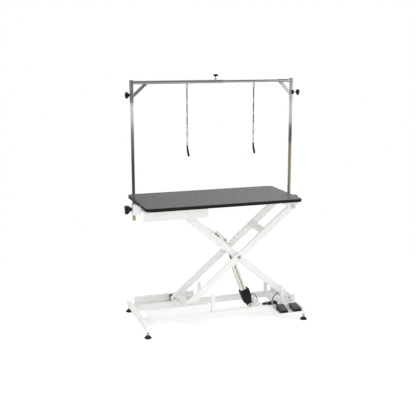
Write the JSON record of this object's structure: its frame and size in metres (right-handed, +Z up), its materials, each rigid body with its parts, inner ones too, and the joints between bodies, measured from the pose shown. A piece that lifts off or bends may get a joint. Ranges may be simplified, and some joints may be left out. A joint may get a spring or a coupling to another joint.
{
  "type": "grooming table",
  "caption": "Electric grooming table with a scissor lift, an H-shaped overhead bracket with hanging nooses, and a foot switch",
  "frame": {"origin": "On the floor under the middle of the tabletop, which is also the middle of the footprint box", "axes": "+Z up; +X along the tabletop towards the end with the fixed pivots and the foot switch; -Y towards the groomer, the side where the pedals are"},
  "size_m": [1.37, 0.654, 1.856],
  "materials": {
    "powder_coat": "satin white powder coat",
    "foot_rubber": "matt black rubber pad on a zinc stud",
    "zinc_steel": "bright zinc plate",
    "roller_nylon": "black nylon",
    "board_wood": "plywood board",
    "mat_rubber": "fine pebbled dark grey rubber",
    "trim_rubber": "smooth black rubber edge",
    "chrome_tube": "polished chrome plate",
    "knob_plastic": "black moulded plastic",
    "noose_cord": "black and white braided nylon cord",
    "anodised_body": "beige-grey anodised extrusion",
    "lead_rubber": "black sheathed lead"
  },
  "bodies": {
    "base": {"base_end_bar_left": "powder_coat", "base_end_bar_right": "powder_coat", "base_rail_front": "powder_coat", "base_rail_rear": "powder_coat", "base_cross_members": "powder_coat", "base_channels": "powder_coat", "pedal_tray": "powder_coat", "switch_blocks": "knob_plastic", "motor_lead": "lead_rubber", "cable_hank": "lead_rubber", "switch_lead": "lead_rubber", "mains_lead": "lead_rubber", "mains_coil": "lead_rubber", "mains_plug": "knob_plastic"},
    "inner_arms": {"arm_b_front": "powder_coat", "arm_b_rear": "powder_coat", "arm_b_cross_tube": "powder_coat", "arm_b_pins": "zinc_steel", "lever_bracket": "powder_coat"},
    "outer_arms": {"arm_a_front": "powder_coat", "arm_a_rear": "powder_coat", "arm_a_cross_tubes": "powder_coat", "arm_a_pins": "zinc_steel"},
    "table": {"table_frame": "powder_coat", "table_channels": "powder_coat", "tabletop_board": "board_wood", "tabletop_mat": "mat_rubber", "tabletop_trim": "trim_rubber", "post_socket_left": "powder_coat", "post_socket_right": "powder_coat"},
    "posts": {"post_left": "chrome_tube", "post_right": "chrome_tube"},
    "crossbar": {"corner_left": "chrome_tube", "corner_right": "chrome_tube", "crossbar_outer": "chrome_tube", "crossbar_inner": "chrome_tube"},
    "actuator": {"actuator_motor": "knob_plastic", "actuator_body": "anodised_body"},
    "actuator_rod": {"actuator_rod": "chrome_tube"},
    "hung_noose_left": {"noose_hook_left": "zinc_steel", "noose_left": "noose_cord"},
    "hung_noose_right": {"noose_hook_right": "zinc_steel", "noose_right": "noose_cord"},
    "roller_low_front": {"roller_low_front": "roller_nylon"},
    "roller_high_front": {"roller_high_front": "roller_nylon"},
    "roller_low_rear": {"roller_low_rear": "roller_nylon"},
    "roller_high_rear": {"roller_high_rear": "roller_nylon"},
    "foot_left_front": {"foot_left_front": "foot_rubber"},
    "foot_left_rear": {"foot_left_rear": "foot_rubber"},
    "foot_right_front": {"foot_right_front": "foot_rubber"},
    "foot_right_rear": {"foot_right_rear": "foot_rubber"},
    "knob_socket_left": {"knob_socket_left": "knob_plastic"},
    "knob_corner_left": {"knob_corner_left": "knob_plastic"},
    "knob_socket_right": {"knob_socket_right": "knob_plastic"},
    "knob_corner_right": {"knob_corner_right": "knob_plastic"},
    "knob_crossbar": {"knob_crossbar": "knob_plastic"},
    "noose_slider_left": {"noose_slider_left": "knob_plastic"},
    "noose_slider_right": {"noose_slider_right": "knob_plastic"},
    "pedal_left": {"pedal_left": "knob_plastic"},
    "pedal_right": {"pedal_right": "knob_plastic"}
  },
  "joints": [
    {"name": "lift", "type": "hinge", "parent": "base", "child": "inner_arms", "pos_m": [0.582, 0, 0.1305], "axis": [0, 1, 0], "range_deg": [-35.2, 7.8]},
    {"name": "scissor", "type": "hinge", "parent": "inner_arms", "child": "outer_arms", "pos_m": [0.1495, 0, 0.496], "axis": [0, 1, 0], "range_deg": [-15.7, 70.5]},
    {"name": "table_level", "type": "hinge", "parent": "outer_arms", "child": "table", "pos_m": [0.582, 0, 0.8615], "axis": [0, 1, 0], "range_deg": [-35.3, 7.9]},
    {"name": "actuator_tilt", "type": "hinge", "parent": "base", "child": "actuator", "pos_m": [0.292, 0, 0.056], "axis": [0, 1, 0], "range_deg": [-43, 9.6], "deforming": ["motor_lead"]},
    {"name": "actuator_stroke", "type": "slide", "parent": "actuator", "child": "actuator_rod", "axis": [-0.3543, 0, 0.9351], "range_m": [-0.1635, 0.0365]},
    {"name": "roller_low_front_spin", "type": "hinge", "parent": "outer_arms", "child": "roller_low_front", "pos_m": [-0.283, -0.167, 0.1305], "axis": [0, 1, 0], "continuous": true},
    {"name": "roller_high_front_spin", "type": "hinge", "parent": "inner_arms", "child": "roller_high_front", "pos_m": [-0.283, -0.167, 0.8615], "axis": [0, 1, 0], "continuous": true},
    {"name": "roller_low_rear_spin", "type": "hinge", "parent": "outer_arms", "child": "roller_low_rear", "pos_m": [-0.283, 0.167, 0.1305], "axis": [0, 1, 0], "continuous": true},
    {"name": "roller_high_rear_spin", "type": "hinge", "parent": "inner_arms", "child": "roller_high_rear", "pos_m": [-0.283, 0.167, 0.8615], "axis": [0, 1, 0], "continuous": true},
    {"name": "foot_left_front_turn", "type": "hinge", "parent": "base", "child": "foot_left_front", "pos_m": [-0.605, -0.301, 0.02], "axis": [0, 0, 1], "continuous": true},
    {"name": "foot_left_rear_turn", "type": "hinge", "parent": "base", "child": "foot_left_rear", "pos_m": [-0.605, 0.301, 0.02], "axis": [0, 0, 1], "continuous": true},
    {"name": "foot_right_front_turn", "type": "hinge", "parent": "base", "child": "foot_right_front", "pos_m": [0.625, -0.301, 0.02], "axis": [0, 0, 1], "continuous": true},
    {"name": "foot_right_rear_turn", "type": "hinge", "parent": "base", "child": "foot_right_rear", "pos_m": [0.625, 0.301, 0.02], "axis": [0, 0, 1], "continuous": true},
    {"name": "posts_height", "type": "slide", "parent": "table", "child": "posts", "axis": [0, 0, 1], "range_m": [-0.06, 0.05]},
    {"name": "crossbar_height", "type": "slide", "parent": "posts", "child": "crossbar", "axis": [0, 0, 1], "range_m": [0, 0.09]},
    {"name": "knob_socket_left_turn", "type": "hinge", "parent": "table", "child": "knob_socket_left", "pos_m": [-0.64, 0, 0.89], "axis": [-1, 0, 0], "continuous": true},
    {"name": "knob_corner_left_turn", "type": "hinge", "parent": "crossbar", "child": "knob_corner_left", "pos_m": [-0.65, 0, 1.716], "axis": [-1, 0, 0], "continuous": true},
    {"name": "knob_socket_right_turn", "type": "hinge", "parent": "table", "child": "knob_socket_right", "pos_m": [0.64, 0, 0.89], "axis": [1, 0, 0], "continuous": true},
    {"name": "knob_corner_right_turn", "type": "hinge", "parent": "crossbar", "child": "knob_corner_right", "pos_m": [0.65, 0, 1.716], "axis": [1, 0, 0], "continuous": true},
    {"name": "knob_crossbar_turn", "type": "hinge", "parent": "crossbar", "child": "knob_crossbar", "pos_m": [0.012, 0, 1.838], "axis": [0, 0, 1], "continuous": true},
    {"name": "noose_left_swing", "type": "hinge", "parent": "crossbar", "child": "hung_noose_left", "pos_m": [-0.208, 0, 1.7845], "axis": [1, 0, 0], "range_deg": [-75, 75]},
    {"name": "noose_slider_left_slide", "type": "slide", "parent": "hung_noose_left", "child": "noose_slider_left", "axis": [0, 0, 1], "range_m": [0, 0.24]},
    {"name": "noose_right_swing", "type": "hinge", "parent": "crossbar", "child": "hung_noose_right", "pos_m": [0.314, 0, 1.787], "axis": [1, 0, 0], "range_deg": [-75, 75]},
    {"name": "noose_slider_right_slide", "type": "slide", "parent": "hung_noose_right", "child": "noose_slider_right", "axis": [0, 0, 1], "range_m": [0, 0.24]},
    {"name": "pedal_left_press", "type": "hinge", "parent": "base", "child": "pedal_left", "pos_m": [0.465, -0.206, 0.089], "axis": [1, 0, 0], "range_deg": [0, 2.5], "stiffness_Nm_per_rad": 1.6, "springref_deg": -11.46},
    {"name": "pedal_right_press", "type": "hinge", "parent": "base", "child": "pedal_right", "pos_m": [0.574, -0.206, 0.089], "axis": [1, 0, 0], "range_deg": [0, 2.5], "stiffness_Nm_per_rad": 1.6, "springref_deg": -11.46}
  ],
  "couplings": [
    {"joint": "scissor", "follows": "lift", "ratio": -2},
    {"joint": "table_level", "follows": "lift", "ratio": 1},
    {"joint": "actuator_tilt", "follows": "lift", "ratio": 1.22},
    {"joint": "actuator_stroke", "follows": "lift", "m_per_rad": 0.265}
  ]
}
